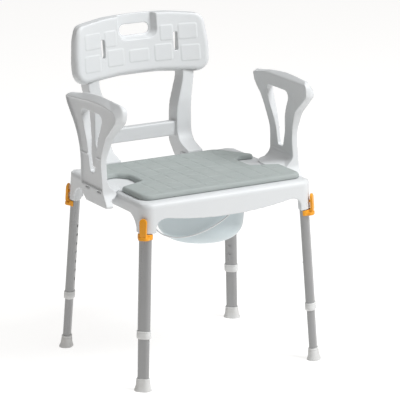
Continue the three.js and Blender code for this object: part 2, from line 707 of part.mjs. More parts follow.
function buildPanel() {
  const { depth, skin, side } = PANEL;
  const outline = roundedShape(mirrorX(PANEL_FRONT));
  const block = new THREE.ExtrudeGeometry(outline, {
    depth: 1, curveSegments: ARC_STEPS, bevelEnabled: true, bevelThickness: depth, bevelSize: side, bevelSegments: 3,
  }).applyMatrix4(FRONT).translate(0, depth + 1, 0);
  const half = box([-300, 300], [-1, depth], [600, 1000]);
  const flat = solid(block).intersect(half).intersect(prismY(roundedShape(mirrorX(PANEL_BACK)), -1, depth));
  const recessShape = (grow) => roundedShape([
    [-RECESS.half - grow, RECESS.bottom - grow, 24],
    [RECESS.half + grow, RECESS.bottom - grow, 24],
    [RECESS.half + grow, 920, 0],
    [-RECESS.half - grow, 920, 0],
  ]);
  const bosses = backScrewSpots().map(([x, z]) => prismY(circle(x, z, 5.5), 0, 8.6));
  const hollow = cut(
    prismY(roundedShape(inset(mirrorX(PANEL_FRONT), -side + 8)), skin, depth + 1)
      .intersect(prismY(roundedShape(inset(mirrorX(PANEL_BACK), skin)), 0, depth + 2)),
    prismY(recessShape(skin), -1, RECESS.depth + skin),
    ...bosses);
  const tiles = [-1, 1].flatMap((hand) => [
    [68, 105, 807, 848], [121, 173, 807, 848], [48, 100, 753, 797], [125, 178, 747, 790],
  ].map(([x0, x1, z0, z1]) => prismY(tileShape(...mirrorPair([x0, x1], hand), z0, z1), -1, 1)));
  tiles.push(prismY(tileShape(-30, 30, 757, 790), -1, 1));
  const cuts = [
    hollow,
    prismY(recessShape(0), -1, RECESS.depth),
    prismY(roundedShape([
      [-HAND_HOLE.half, HAND_HOLE.z[0], 16.5], [HAND_HOLE.half, HAND_HOLE.z[0], 16.5],
      [HAND_HOLE.half, HAND_HOLE.z[1], 16.5], [-HAND_HOLE.half, HAND_HOLE.z[1], 16.5],
    ]), -1, depth + 2),
  ];
  for (const hand of [-1, 1]) {
    const [x0, x1] = mirrorPair([SLOT.x - SLOT.half, SLOT.x + SLOT.half], hand);
    cuts.push(prismY(tileShape(x0, x1, ...SLOT.z, SLOT.half - 0.3), -2, skin + 1));
    cuts.push(box(mirrorPair([127, 168], hand), [6.5, depth + 2], [690, 735]));
  }
  const shaped = cut(join(flat, ...tiles), ...cuts);
  const bent = bend(shaped, 60, (p) => {
    p.y += panelY(p.x, p.z);
  });
  return cut(bent, ...backScrewSpots().map(([x, z]) => screwHole(x, z, 0)));
}

place('back_frame', buildBackFrame(), white());
place('back_panel', buildPanel(), white());

const backScrew = buildScrew(BACK_SCREW.shank, BACK_SCREW.head, BACK_SCREW.headHeight, BACK_SCREW.length);
backScrewSpots().forEach(([x, z], i) => {
  const name = `back_screw_${['left', 'left', 'right', 'right'][i]}_${['lower', 'upper'][i % 2]}`;
  const screw = place(name, backScrew, steel());
  screw.applyMatrix4(screwMatrix(x, z));
  screw.translateZ(BACK_SCREW.seat);
});

// The origin is the middle of the footprint, on the floor.
const bounds = new THREE.Box3().setFromObject(group, true);
group.position.y = -(bounds.min.y + bounds.max.y) / 2;

export default group;
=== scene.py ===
import math

import bmesh
import bpy
import numpy as np
from mathutils import Matrix, Vector


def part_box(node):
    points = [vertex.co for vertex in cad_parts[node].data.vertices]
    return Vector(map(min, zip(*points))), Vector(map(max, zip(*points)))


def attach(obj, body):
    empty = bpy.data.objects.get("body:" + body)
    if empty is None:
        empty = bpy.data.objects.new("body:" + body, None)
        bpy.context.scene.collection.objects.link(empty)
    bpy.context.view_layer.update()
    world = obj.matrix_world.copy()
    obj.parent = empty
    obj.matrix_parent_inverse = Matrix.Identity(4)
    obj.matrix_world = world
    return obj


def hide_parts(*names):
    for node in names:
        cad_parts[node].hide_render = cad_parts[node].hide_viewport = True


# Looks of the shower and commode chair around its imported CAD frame.
# Blender works in metres. Outlines are in millimetres in the chair's own frame: X across, Y towards the
# back with 0 halfway between the legs, Z up from the floor. SHIFT takes that frame to the CAD's.

MM = 0.001
SEAT_FRONT = -216.0

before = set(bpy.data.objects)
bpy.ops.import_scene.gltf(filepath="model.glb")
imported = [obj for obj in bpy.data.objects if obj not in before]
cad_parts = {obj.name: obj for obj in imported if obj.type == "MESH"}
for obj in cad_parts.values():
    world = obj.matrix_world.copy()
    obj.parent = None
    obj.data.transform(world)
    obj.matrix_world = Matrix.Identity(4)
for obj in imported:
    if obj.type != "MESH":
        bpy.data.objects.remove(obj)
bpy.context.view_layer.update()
seat_low, seat_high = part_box("seat_frame")
DECK = seat_high.z / MM
SHIFT = seat_low.y / MM - SEAT_FRONT
SEAT_X = 258.0


# ---------------------------------------------------------------- outlines
def rounded(corners, step=9.0):
    """Points of a polygon whose corners (x, y, radius) are rounded by arcs of about step degrees."""
    points = []
    count = len(corners)
    for i, (x, y, radius) in enumerate(corners):
        here = Vector((x, y))
        back = (Vector(corners[i - 1][:2]) - here).normalized()
        ahead = (Vector(corners[(i + 1) % count][:2]) - here).normalized()
        if radius <= 0 or (back + ahead).length < 1e-4:
            points.append((x, y))
            continue
        half = back.angle(ahead) / 2
        centre = here + (back + ahead).normalized() * (radius / math.sin(half))
        start = here + back * (radius / math.tan(half)) - centre
        end = here + ahead * (radius / math.tan(half)) - centre
        first = math.atan2(start.y, start.x)
        turn = math.atan2(start.x * end.y - start.y * end.x, start.dot(end))
        steps = max(2, math.ceil(abs(math.degrees(turn)) / step))
        for k in range(steps + 1):
            angle = first + turn * k / steps
            points.append((centre.x + radius * math.cos(angle), centre.y + radius * math.sin(angle)))
    return points


def inset(corners, distance):
    """The same counter-clockwise corners moved inwards."""
    moved = []
    count = len(corners)
    for i, (x, y, radius) in enumerate(corners):
        px, py = corners[i - 1][:2]
        nx, ny = corners[(i + 1) % count][:2]
        into = Vector((x - px, y - py)).normalized()
        out = Vector((nx - x, ny - y)).normalized()
        turn = into.x * out.y - into.y * out.x
        normal = Vector((-into.y, into.x))
        bisector = (normal + Vector((-out.y, out.x))).normalized()
        reach = distance / max(0.3, bisector.dot(normal))
        rest = max(0.5, radius - distance) if turn > 0 else radius + distance
        moved.append((x + bisector.x * reach, y + bisector.y * reach, rest))
    return moved


def mirrored(corners):
    """The right half's corners and their mirror image."""
    return list(corners) + [(-x, y, r) for x, y, r in reversed(corners)]


def stadium(wide, deep, steps=10):
    """Points of an oval with two flat sides, flat along X."""
    radius = deep / 2
    flat = wide / 2 - radius
    points = []
    for side, first in ((1, -90), (-1, 90)):
        for k in range(steps + 1):
            angle = math.radians(first + 180 * k / steps)
            points.append((side * flat + radius * math.cos(angle), radius * math.sin(angle)))
    return points


def circle(x, y, rx, ry=None, steps=32):
    ry = ry or rx
    turns = (2 * math.pi * k / steps for k in range(steps))
    return [(x + rx * math.cos(a), y + ry * math.sin(a)) for a in turns]


def smoothstep(value, low, high):
    t = np.clip((value - low) / (high - low), 0, 1)
    return t * t * (3 - 2 * t)


# ---------------------------------------------------------------- solids
# Where a point (a, b) of the plane across an axis lies at the height h along it.
PLACE = {
    "x": lambda a, b, h: (h, a, b),
    "y": lambda a, b, h: (a, h, b),
    "z": lambda a, b, h: (a, b, h),
}


def mesh_object(name, verts, faces):
    mesh = bpy.data.meshes.new(name)
    mesh.from_pydata([Vector(v) * MM for v in verts], [], faces)
    work = bmesh.new()
    work.from_mesh(mesh)
    bmesh.ops.recalc_face_normals(work, faces=work.faces)
    work.to_mesh(mesh)
    work.free()
    obj = bpy.data.objects.new(name, mesh)
    bpy.context.scene.collection.objects.link(obj)
    return obj


def loft(rings):
    """A closed skin through rings of points, each ring with the same number of them."""
    count = len(rings[0])
    verts = [p for ring in rings for p in ring]
    faces = [tuple(range(count)), tuple(range(len(verts) - count, len(verts)))]
    for r in range(len(rings) - 1):
        for i in range(count):
            a, b = r * count + i, r * count + (i + 1) % count
            faces.append((a, b, b + count, a + count))
    return mesh_object("solid", verts, faces)


def prism(axis, points, low, high):
    """Points (a, b) of the plane across an axis, raised along it from low to high."""
    place = PLACE[axis]
    return loft([[place(a, b, h) for a, b in points] for h in (low, high)])


def box(x, y, z):
    corners = [(x[0], y[0]), (x[1], y[0]), (x[1], y[1]), (x[0], y[1])]
    return prism("z", corners, z[0], z[1])


def bake_modifiers(obj):
    bpy.context.view_layer.update()
    shown = obj.evaluated_get(bpy.context.evaluated_depsgraph_get())
    mesh = bpy.data.meshes.new_from_object(shown)
    obj.modifiers.clear()
    obj.data = mesh


def combine(base, how, *tools):
    """Joins, cuts or intersects base with each tool and deletes the tools."""
    for tool in tools:
        modifier = base.modifiers.new("combine", "BOOLEAN")
        modifier.operation = how
        modifier.solver = "MANIFOLD"
        modifier.object = tool
        bake_modifiers(base)
        bpy.data.objects.remove(tool)
    return base


def join(base, *tools):
    return combine(base, "UNION", *tools)


def cut(base, *tools):
    return combine(base, "DIFFERENCE", *tools)


def common(base, *tools):
    return combine(base, "INTERSECT", *tools)


def transform(obj, matrix):
    """Moves the mesh itself by a matrix in millimetres."""
    scaled = matrix.copy()
    scaled.translation *= MM
    obj.data.transform(scaled)
    if matrix.determinant() < 0:
        obj.data.flip_normals()
    return obj


def duplicate(obj):
    twin = bpy.data.objects.new(obj.name, obj.data.copy())
    bpy.context.scene.collection.objects.link(twin)
    return twin


MIRROR = Matrix.Diagonal((-1, 1, 1, 1))


def both_sides(pair, side):
    """A range along X on the right side, or its mirror image on the left one."""
    return pair if side > 0 else (-pair[1], -pair[0])


def mould(obj, voxel, rounds):
    """Turns a sharp solid into a moulded one: an even mesh whose edges are rounded."""
    remesh = obj.modifiers.new("remesh", "REMESH")
    remesh.mode = "VOXEL"
    remesh.voxel_size = voxel * MM
    bake_modifiers(obj)
    smooth = obj.modifiers.new("smooth", "SMOOTH")
    smooth.factor = 0.6
    smooth.iterations = rounds
    bake_modifiers(obj)
    return obj


def read_points(obj):
    flat = np.empty(len(obj.data.vertices) * 3)
    obj.data.vertices.foreach_get("co", flat)
    return flat.reshape(-1, 3) / MM


def write_points(obj, points):
    obj.data.vertices.foreach_set("co", (points * MM).ravel())
    obj.data.update()


def finish_piece(obj, name, body, material, slot, *nodes):
    """Names a piece, moves it to the CAD's frame and ties it to its body and nodes; slot is not used."""
    obj.name = name
    obj.data.name = name
    obj.data.transform(Matrix.Translation((0, SHIFT * MM, 0)))
    obj.data.materials.clear()
    obj.data.materials.append(material)
    obj.data.shade_smooth()
    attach(obj, body)
    if nodes:
        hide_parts(*nodes)
    return obj


# ---------------------------------------------------------------- materials
def new_material(name, colour, roughness, **sockets):
    material = bpy.data.materials.new(name)
    material.use_nodes = True
    shader = material.node_tree.nodes["Principled BSDF"]
    shader.inputs["Base Color"].default_value = (*colour, 1)
    shader.inputs["Roughness"].default_value = roughness
    for socket, value in sockets.items():
        shader.inputs[socket.replace("_", " ")].default_value = value
    return material


def link_noise(tree, scale, detail, roughness, stretch=None):
    coordinates = tree.nodes.new("ShaderNodeTexCoord")
    source = coordinates.outputs["Object"]
    if stretch:
        mapping = tree.nodes.new("ShaderNodeMapping")
        mapping.inputs["Scale"].default_value = stretch
        tree.links.new(source, mapping.inputs["Vector"])
        source = mapping.outputs["Vector"]
    texture = tree.nodes.new("ShaderNodeTexNoise")
    texture.inputs["Scale"].default_value = scale
    texture.inputs["Detail"].default_value = detail
    texture.inputs["Roughness"].default_value = roughness
    tree.links.new(source, texture.inputs["Vector"])
    return texture.outputs["Fac"]


def ramp(tree, source, stops):
    """A colour ramp from (position, colour) stops."""
    node = tree.nodes.new("ShaderNodeValToRGB")
    elements = node.color_ramp.elements
    while len(elements) < len(stops):
        elements.new(0.5)
    for element, (position, colour) in zip(elements, stops):
        element.position = position
        element.color = (*colour, 1)
    tree.links.new(source, node.inputs["Fac"])
    return node.outputs["Color"]


def grey(value):
    return (value, value, value)


def mix_colours(tree, factor, a, b):
    node = tree.nodes.new("ShaderNodeMix")
    node.data_type = "RGBA"
    for socket, value in ((node.inputs[0], factor), (node.inputs[6], a), (node.inputs[7], b)):
        if isinstance(value, bpy.types.NodeSocket):
            tree.links.new(value, socket)
        else:
            socket.default_value = value
    return node.outputs[2]


def vary(material, tint, spread, scale, gloss, bump_scale, bump, edge_light_and_crease_shade=None, stretch=None):
    """Gives a material a drifting colour, uneven gloss, a fine surface, painted shade in its creases and
    painted highlights on its edges.
    """
    tree = material.node_tree
    shader = tree.nodes["Principled BSDF"]
    base = tuple(shader.inputs["Base Color"].default_value)[:3]
    darker = tuple(c * t for c, t in zip(base, tint))
    drift = link_noise(tree, scale, 4.0, 0.6)
    colour = ramp(tree, drift, [(0.5 - spread, darker), (0.5 + spread, base)])
    # Painted light from pointiness: creases are darkened as painted shade and convex edges are lightened as
    # painted highlight.
    if edge_light_and_crease_shade:
        pointiness = tree.nodes.new("ShaderNodeNewGeometry").outputs["Pointiness"]
        edges = ramp(tree, pointiness, [(0.44, grey(0)), (0.5, grey(0.5)), (0.56, grey(1))])
        painted_edge_highlight = tuple(min(1, c * edge_light_and_crease_shade[0]) for c in base)
        painted_crease_shade = tuple(c * edge_light_and_crease_shade[1] for c in base)
        painted_edge_and_crease = mix_colours(tree, edges, (*painted_crease_shade, 1), (*painted_edge_highlight, 1))
        painted_light_amount = ramp(tree, pointiness, [
            (0.42, grey(0.8)), (0.485, grey(0)), (0.515, grey(0)), (0.6, grey(0.8))])
        colour = mix_colours(tree, painted_light_amount, colour, painted_edge_and_crease)
    tree.links.new(colour, shader.inputs["Base Color"])
    rough = shader.inputs["Roughness"].default_value
    patches = link_noise(tree, scale * 3, 5.0, 0.65, stretch)
    uneven = ramp(tree, patches, [(0.3, grey(rough - gloss)), (0.7, grey(rough + gloss))])
    tree.links.new(uneven, shader.inputs["Roughness"])
    fine = link_noise(tree, bump_scale, 2.0, 0.5, stretch)
    relief = tree.nodes.new("ShaderNodeBump")
    relief.inputs["Strength"].default_value = bump
    relief.inputs["Distance"].default_value = 0.0004
    tree.links.new(fine, relief.inputs["Height"])
    tree.links.new(relief.outputs["Normal"], shader.inputs["Normal"])
    return material


# The last pair of numbers in a call sets the painted highlight on convex edges and the painted shade in
# creases.
WHITE = vary(
    new_material("white_plastic", (0.665, 0.675, 0.68), 0.45, Specular_IOR_Level=0.35),
    (0.975, 0.98, 0.985), 0.2, 9, 0.06, 900, 0.12, edge_light_and_crease_shade=(1.06, 0.82))
COLLAR = vary(
    new_material("collar_plastic", (0.68, 0.68, 0.675), 0.5),
    (0.95, 0.95, 0.94), 0.2, 30, 0.06, 1200, 0.15, edge_light_and_crease_shade=(1.06, 0.75))
ORANGE = vary(
    new_material("orange_plastic", (0.86, 0.36, 0.02), 0.4, Specular_IOR_Level=0.35),
    (0.94, 0.90, 0.8), 0.2, 40, 0.06, 1500, 0.1, edge_light_and_crease_shade=(1.15, 0.7))
FOAM = vary(
    new_material("pad_foam", (0.37, 0.40, 0.39), 0.8, Specular_IOR_Level=0.25),
    (0.93, 0.94, 0.94), 0.2, 14, 0.06, 1400, 0.5, edge_light_and_crease_shade=(1.1, 0.75))
TUBE = vary(
    new_material("tube_aluminium", (0.32, 0.32, 0.32), 0.3, Metallic=0.5),
    (0.95, 0.95, 0.955), 0.2, 25, 0.04, 300, 0.06, stretch=(1, 1, 0.01))
STEEL = vary(
    new_material("steel", (0.62, 0.63, 0.64), 0.28, Metallic=1.0),
    (0.9, 0.9, 0.9), 0.2, 60, 0.06, 1500, 0.15)
RUBBER = vary(
    new_material("foot_rubber", (0.66, 0.66, 0.655), 0.6),
    (0.93, 0.92, 0.9), 0.2, 40, 0.08, 1500, 0.25, edge_light_and_crease_shade=(1.05, 0.7))
PAN = vary(
    new_material("pan_plastic", (0.60, 0.67, 0.69), 0.35),
    (0.95, 0.97, 0.98), 0.2, 12, 0.05, 700, 0.1)
WIRE = vary(
    new_material("handle_wire", (0.86, 0.87, 0.88), 0.35),
    (0.95, 0.95, 0.95), 0.2, 40, 0.05, 1200, 0.1)


# ---------------------------------------------------------------- the legs' places
LEG_X, LEG_Y = 263.5, 217.0
LEAN = math.tan(math.radians(3))
CORNERS = (("front_left", -1, -1), ("front_right", 1, -1), ("rear_left", -1, 1), ("rear_right", 1, 1))
TUBE_WIDE, TUBE_DEEP = 34.0, 22.5
LOWER_WIDE, LOWER_DEEP = 31.0, 19.5
TUBE_WALL = 1.2
GAP = 0.35


def leg_matrix(sx, sy):
    """Leg frame to chair frame: Z up the tube, Y towards the outside of the corner."""
    up = Vector((-sx * LEAN, -sy * LEAN, 1)).normalized()
    spin = Matrix.Rotation(math.atan2(sy, sx) - math.pi / 2, 4, "Z")
    tilt = Vector((0, 0, 1)).rotation_difference(up).to_matrix().to_4x4()
    return Matrix.Translation((sx * LEG_X, sy * LEG_Y, 0)) @ tilt @ spin


# ---------------------------------------------------------------- seat frame
WALL = 5.0
EDGE_ROUND = 14.0
RAIL_BOTTOM = 464.0
REAR_BOTTOM = 478.0
SOCKET_BOTTOM = 419.5
POST_WIDE, POST_DEEP = 40.5, 29.0
OPENING_Y, OPENING_HALF, OPENING_DEEP = -52, 98, 116
LIP_WALL, LIP_BOTTOM = 4, 480
BACK_SOCKET = ((106, 153), (186, 228.5), (471, 499.8))
BACK_TONGUE = ((114, 145), (194, 216))
ARM_TONGUE = ((239, 249), (-40, 30))
SEAT_OUTLINE = [(-SEAT_X, SEAT_FRONT, 32), (SEAT_X, SEAT_FRONT, 32), (SEAT_X, 207, 32), (-SEAT_X, 207, 32)]


def rounded_block(corners, bottom, top, radius):
    """A prism along Z whose top edge is a quarter round."""
    levels = [(0, bottom), (0, top - radius)]
    for k in range(1, 9):
        angle = math.pi / 2 * k / 8
        levels.append((radius * (1 - math.cos(angle)), top - radius * (1 - math.sin(angle))))
    return loft([[(x, y, z) for x, y in rounded(inset(corners, d))] for d, z in levels])


def bezier(a, b, c, steps=16):
    """Points of a curve that leaves a and reaches c with b as its handle, without a itself."""
    return [tuple((1 - t) ** 2 * p + 2 * t * (1 - t) * q + t * t * r for p, q, r in zip(a, b, c))
            for t in (k / steps for k in range(1, steps + 1))]


def apron_arch():
    """The space under the front apron, whose lower edge sags towards the middle."""
    side, end, lowest = 219, 188, 438.5
    end_z = lowest + 0.00048 * end * end
    points = [(-side, 360), (side, 360), (side, end_z - 26)]
    points += bezier((side, end_z - 26), (side, end_z), (end, end_z))
    points += bezier((end, end_z), (0, 2 * lowest - end_z), (-end, end_z), 40)
    points += bezier((-end, end_z), (-side, end_z), (-side, end_z - 26))
    return points


def arch(half, top, radius):
    return rounded([(-half, 360, 0), (half, 360, 0), (half, top, radius), (-half, top, radius)])


def build_seat_frame():
    """A thin-walled deck with the toilet opening, an arch in each side and sockets for what plugs in."""
    seat = cut(
        rounded_block(SEAT_OUTLINE, 380, DECK, EDGE_ROUND),
        rounded_block(inset(SEAT_OUTLINE, WALL), 360, DECK - WALL, EDGE_ROUND - WALL),
        prism("x", arch(176, RAIL_BOTTOM, 45), -300, 300),
        prism("y", apron_arch(), SEAT_FRONT - 10, SEAT_FRONT + 40),
        prism("y", arch(214, REAR_BOTTOM, 34), 167, 217),
        box((-300, 300), (-300, 300), (350, SOCKET_BOTTOM)))
    opening = circle(0, OPENING_Y, OPENING_HALF, OPENING_DEEP, 72)
    around = circle(0, OPENING_Y, OPENING_HALF + LIP_WALL, OPENING_DEEP + LIP_WALL, 72)
    seat = cut(seat, prism("z", opening, LIP_BOTTOM - 10, DECK + 1))
    lip = cut(prism("z", around, LIP_BOTTOM, DECK - 1), prism("z", opening, LIP_BOTTOM - 10, DECK + 10))
    seat = join(seat, lip)
    for side in (-1, 1):
        seat = join(seat, box(both_sides(BACK_SOCKET[0], side), BACK_SOCKET[1], BACK_SOCKET[2]))
        for tongue in (BACK_TONGUE, ARM_TONGUE):
            tx = (tongue[0][0] - GAP, tongue[0][1] + GAP)
            ty = (tongue[1][0] - GAP, tongue[1][1] + GAP)
            seat = cut(seat, box(both_sides(tx, side), ty, (455, DECK + 1)))
    for _, sx, sy in CORNERS:
        place = leg_matrix(sx, sy)
        post = transform(prism("z", stadium(POST_WIDE, POST_DEEP), SOCKET_BOTTOM, DECK - 2), place)
        bore = transform(prism("z", stadium(TUBE_WIDE + 0.8, TUBE_DEEP + 0.8), 380, 487.5), place)
        seat = cut(join(seat, post), bore)
    return mould(seat, 2.0, 3)


finish_piece(build_seat_frame(), "seat_moulding", "chair", WHITE, "white_plastic", "seat_frame")


# ---------------------------------------------------------------- seat pad
PAD_BOTTOM = DECK + GAP
PAD_HALF = [
    (242, -187, 28), (242, -66, 10), (168, -38, 8), (166, 32, 26),
    (192, 60, 20), (245, 50, 9), (172, 160, 34)]
PAD_THICK = 14.0
PAD_ROUND, PAD_DROP, PAD_CROWN = 9.0, 8.0, 1.2
GROOVE_PITCH, GROOVE_DEPTH = 46.0, 1.1


def edge_distance(points, outline):
    """Distance of each (x, y) from a closed outline."""
    a = np.array(outline)
    b = np.roll(a, -1, axis=0)
    nearest = np.full(len(points), 1e9)
    for p, q in zip(a, b):
        along = q - p
        length = along @ along
        if length < 1e-9:
            continue
        t = np.clip(((points - p) @ along) / length, 0, 1)
        nearest = np.minimum(nearest, np.linalg.norm(points - p - t[:, None] * along, axis=1))
    return nearest


def build_pad():
    """A foam slab with a rounded upper edge, a slight crown and a grid of grooves."""
    corners = mirrored(PAD_HALF)
    pad = prism("z", rounded(corners), PAD_BOTTOM, PAD_BOTTOM + PAD_THICK)
    mould(pad, 2.2, 1)
    points = read_points(pad)
    distance = edge_distance(points[:, :2], rounded(corners))
    high = smoothstep(points[:, 2], PAD_BOTTOM + 1, PAD_BOTTOM + PAD_THICK - 1)
    near = np.clip(distance / PAD_ROUND, 0, 1)
    drop = PAD_DROP * (1 - np.sqrt(1 - (1 - near) ** 2))
    crown = PAD_CROWN * smoothstep(distance, 0, 90)
    flat = np.ones(len(points))
    for axis, offset in ((0, 0.0), (1, 12.0)):
        line = np.abs((points[:, axis] + offset + GROOVE_PITCH / 2) % GROOVE_PITCH - GROOVE_PITCH / 2)
        flat = np.minimum(flat, smoothstep(line, 0.6, 4.2))
    inside = smoothstep(distance, 12, 18)
    points[:, 2] += high * (crown - drop - GROOVE_DEPTH * (1 - flat) * inside)
    write_points(pad, points)
    return pad


pad = build_pad()
finish_piece(pad, "foam_pad", "pad", FOAM, "pad_foam", "seat_pad")


# ---------------------------------------------------------------- armrests
ARM_OUT = 301.0
ARM_OUTLINE = [
    (-98, 465, 4), (20, 465, 4), (38, 478, 8), (50, 506, 20), (50, 616, 170), (126, 712, 8),
    (134, 738, 5), (-35, 755, 500), (-157, 748, 24), (-152, 706, 26), (-90, 654, 70), (-60, 590, 90),
    (-74, 500, 30)]
ARM_OPENING = [(-17, 545, 9), (8, 545, 9), (27, 625, 60), (60, 707, 14), (-68, 707, 16), (-34, 634, 60)]
ARM_SECTION = [
    (280, 460, 0), (ARM_OUT, 460, 0), (ARM_OUT, 762, 0), (292, 762, 12), (268.5, 741, 5),
    (273, 660, 60), (283, 590, 60), (283, 522, 26), (259, 500.5, 0), (264, 492, 12), (280, 484, 0)]
ARM_LEDGE, ARM_BROW = 508.0, 734.0
ARM_FLANGE, ARM_POCKET = 3.6, 6.0
ARM_POCKET_FIELD = [
    (-138, ARM_LEDGE, 3), (140, ARM_LEDGE, 3), (140, ARM_BROW, 4), (-142, ARM_BROW, 34)]
FLARE_X, FLARE_Y = 284.0, -6.0
FLARE_WIDE, FLARE_DEEP = 60, 68


def build_flare():
    """The armrest's foot, which spreads in a hollow curve over the deck."""
    bottom = DECK + GAP
    levels = [(bottom, FLARE_WIDE, FLARE_DEEP)]
    for k in range(9):
        angle = math.pi / 2 * k / 8
        z = bottom + 2.5 + 30 * (1 - math.cos(angle))
        levels.append((z, FLARE_WIDE - 57 * math.sin(angle), FLARE_DEEP - 17 * math.sin(angle)))
    rings = [[(x, y, z) for x, y in circle(FLARE_X, FLARE_Y, rx, ry, 72)] for z, rx, ry in levels]
    return common(loft(rings), box((200, FLARE_X), (-100, 100), (490, 540)))


def outer_edge(outline):
    """The armrest's outline where it meets the outer face, with a lower and rounder head."""
    moved = []
    for y, z in outline:
        nose = smoothstep(-y, 110, 156)
        head = smoothstep(z, 690, 752)
        moved.append((y + 9 * nose, z - head * (14 + 8 * nose)))
    return moved


def build_arm():
    """The right armrest: a smooth inner side, and a shallow pocket with ribs outside."""
    outline = rounded(ARM_OUTLINE)
    levels = [(250, outline), (283, outline), (ARM_OUT, outer_edge(outline))]
    body = loft([[(x, y, z) for y, z in points] for x, points in levels])
    body = common(body, prism("y", rounded(ARM_SECTION), -200, 200))
    beyond = ARM_OUT + 5
    pocket = common(
        prism("x", outer_edge(rounded(inset(ARM_OUTLINE, ARM_FLANGE))), ARM_OUT - ARM_POCKET, beyond),
        prism("x", rounded(ARM_POCKET_FIELD), 280, beyond + 1))
    for rib in ((-90, -20), (10, 80)):
        pocket = cut(pocket, box((280, ARM_OUT - 3.5), rib, (588, 591)))
    arm = cut(body, pocket, prism("x", rounded(ARM_OPENING), 240, beyond + 2))
    for y in (-52, 12):
        arm = cut(arm, box((ARM_OUT - 6, beyond), (y - 12, y + 12), (ARM_LEDGE - 8, ARM_LEDGE - 4)))
    arm = join(arm, build_flare(), box(ARM_TONGUE[0], ARM_TONGUE[1], (468, DECK + 4)))
    mould(arm, 1.5, 5)
    points = read_points(arm)
    x, y, z = points.T
    inwards = 1 - smoothstep(x, 270, 296)
    points[:, 1] -= 13 * smoothstep(z, 590, 680) * inwards * smoothstep(y, 30, 100)
    points[:, 2] -= 8 * smoothstep(z, 650, 705) * inwards * smoothstep(y, 30, 130)
    write_points(arm, points)
    return arm


arm = build_arm()
left_arm = transform(duplicate(arm), MIRROR)
finish_piece(left_arm, "arm_left", "arm_left", WHITE, "white_plastic", "armrest_left")
finish_piece(arm, "arm_right", "arm_right", WHITE, "white_plastic", "armrest_right")


# ---------------------------------------------------------------- backrest
UPRIGHT_X, UPRIGHT_HALF = 128.0, 23.5
UPRIGHT_TOP_X, UPRIGHT_TOP_HALF = 147.0, 17.5
UPRIGHT_WALL = 3.5
UPRIGHT_SIDE = [
    (187, DECK + GAP, 2.5), (229.1, DECK + GAP, 0), (229.1, 481, 3), (264, 481, 8),
    (297, 518, 22), (298, 620, 60), (307, 720, 50), (306, 832, 4),
    (276, 832, 4), (250, 640, 90), (249, 530, 45), (187, 509, 2.5)]
UPRIGHT_FRONT = [
    (UPRIGHT_X - UPRIGHT_HALF, 470, 0), (UPRIGHT_X + UPRIGHT_HALF, 470, 0),
    (UPRIGHT_X + UPRIGHT_HALF, 640, 150), (UPRIGHT_TOP_X + UPRIGHT_TOP_HALF, 700, 90),
    (UPRIGHT_TOP_X + UPRIGHT_TOP_HALF, 840, 0), (UPRIGHT_TOP_X - UPRIGHT_TOP_HALF, 840, 0),
    (UPRIGHT_TOP_X - UPRIGHT_TOP_HALF, 700, 90), (UPRIGHT_X - UPRIGHT_HALF, 620, 110)]
CROSSBAR_Y, CROSSBAR_Z = (257, 283), (539, 579)
CROSSBAR_WALL = 3.5


def build_back_frame():
    """Two channels open to the rear, a crossbar between them and the tongues that plug into the seat."""
    across = (90, 180)
    channel = join(
        prism("x", rounded(inset(UPRIGHT_SIDE, UPRIGHT_WALL)), *across), box(across, (285, 330), (540, 825)))
    hollow = common(channel, prism("y", rounded(inset(UPRIGHT_FRONT, UPRIGHT_WALL)), 180, 330))
    upright = common(
        prism("x", rounded(UPRIGHT_SIDE), *across), prism("y", rounded(UPRIGHT_FRONT), 180, 330))
    upright = cut(upright, hollow)
    half = UPRIGHT_X - UPRIGHT_HALF + 3
    trough = (CROSSBAR_Z[0] + CROSSBAR_WALL, CROSSBAR_Z[1] - CROSSBAR_WALL)
    bar = cut(
        box((-half, half), CROSSBAR_Y, CROSSBAR_Z),
        box((4 - half, half - 4), (CROSSBAR_Y[0] + CROSSBAR_WALL, 300), trough))
    twin = transform(duplicate(upright), MIRROR)
    back = join(bar, upright, twin)
    for side in (-1, 1):
        back = join(back, box(both_sides(BACK_TONGUE[0], side), BACK_TONGUE[1], (476, DECK + 2)))
    return mould(back, 1.9, 7)


finish_piece(build_back_frame(), "back_uprights", "backrest", WHITE, "white_plastic", "back_frame")

PANEL_FRONT = [
    (60, 738, 200), (192, 729, 22), (193, 790, 120), (183, 867, 24), (95, 877, 160), (20, 879, 160)]
PANEL_BACK = [
    (60, 718, 200), (212, 708, 22), (213, 762, 60), (205, 835, 80), (191, 872, 26), (95, 882.5, 160),
    (20, 884, 160)]
PANEL_DEPTH, PANEL_SKIN, PANEL_SIDE = 30.0, 4.5, 19.0
RECESS_HALF, RECESS_BOTTOM, RECESS_DEPTH = 60.0, 817.0, 20.0
HAND_HOLE = [(-45, 827, 14), (45, 827, 14), (45, 856, 14), (-45, 856, 14)]
SLOT_DEPTH = 16.0
SLOT = [(107, 776, 5), (118, 776, 5), (118, 828, 5), (107, 828, 5)]
SLOT_SLEEVE = ((104, 121), (0, SLOT_DEPTH), (773, 832))
UPRIGHT_NOTCH = ((127, 168), (6.5, 33), (690, 735))
TILE_HEIGHT, TILE_CORNER = 1.1, 5
TILES = (
    (68, 105, 807, 848), (121, 173, 807, 848),
    (48, 100, 753, 797), (125, 178, 747, 790), (-30, 30, 757, 790))


def panel_y(x, z):
    """Front face of the panel: bowed round the sitter and leaning back."""
    return 277 - 0.00072 * x * x + math.tan(math.radians(8)) * (z - 800)


def recess(grow):
    """The handle's hollow with sloping walls, open at the top; grow adds the wall round it."""
    rings = []
    for y, slope in ((-2, -1), (RECESS_DEPTH + grow, 9)):
        half, bottom = RECESS_HALF + grow - slope, RECESS_BOTTOM - grow + slope / 2
        corners = [(-half, bottom, 24), (half, bottom, 24), (half, 920, 0), (-half, 920, 0)]
        rings.append([(x, y, z) for x, z in rounded(corners)])
    return loft(rings)


